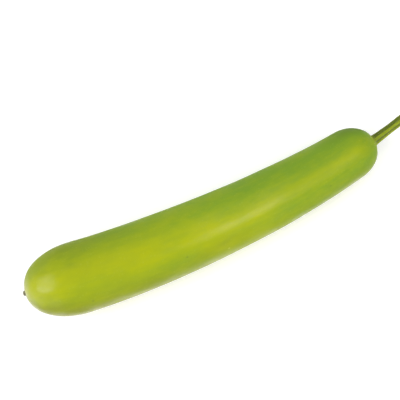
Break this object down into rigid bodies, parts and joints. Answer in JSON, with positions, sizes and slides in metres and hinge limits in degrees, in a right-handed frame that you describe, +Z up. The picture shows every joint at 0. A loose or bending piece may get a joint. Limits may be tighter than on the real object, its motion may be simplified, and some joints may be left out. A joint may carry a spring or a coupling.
{
  "type": "bottle gourd",
  "caption": "Long, club-shaped green bottle gourd lying on its side, gently bent, with a short ribbed stem and the dry scar of its flower.",
  "frame": {"origin": "middle of the narrow flat under the belly that the fruit rests on", "axes": "+X along the fruit's length from the blossom end to the stem, +Z up, +Y towards the hollow side of the bend"},
  "size_m": [0.4443, 0.081, 0.0737],
  "materials": {
    "skin": "smooth waxy skin with a satin sheen",
    "stem": "green fibrous stalk, matt",
    "scar": "dry, cork-like, matt"
  },
  "bodies": {
    "root": {"fruit": "skin", "stem": "stem", "blossom_scar": "scar"}
  },
  "joints": []
}
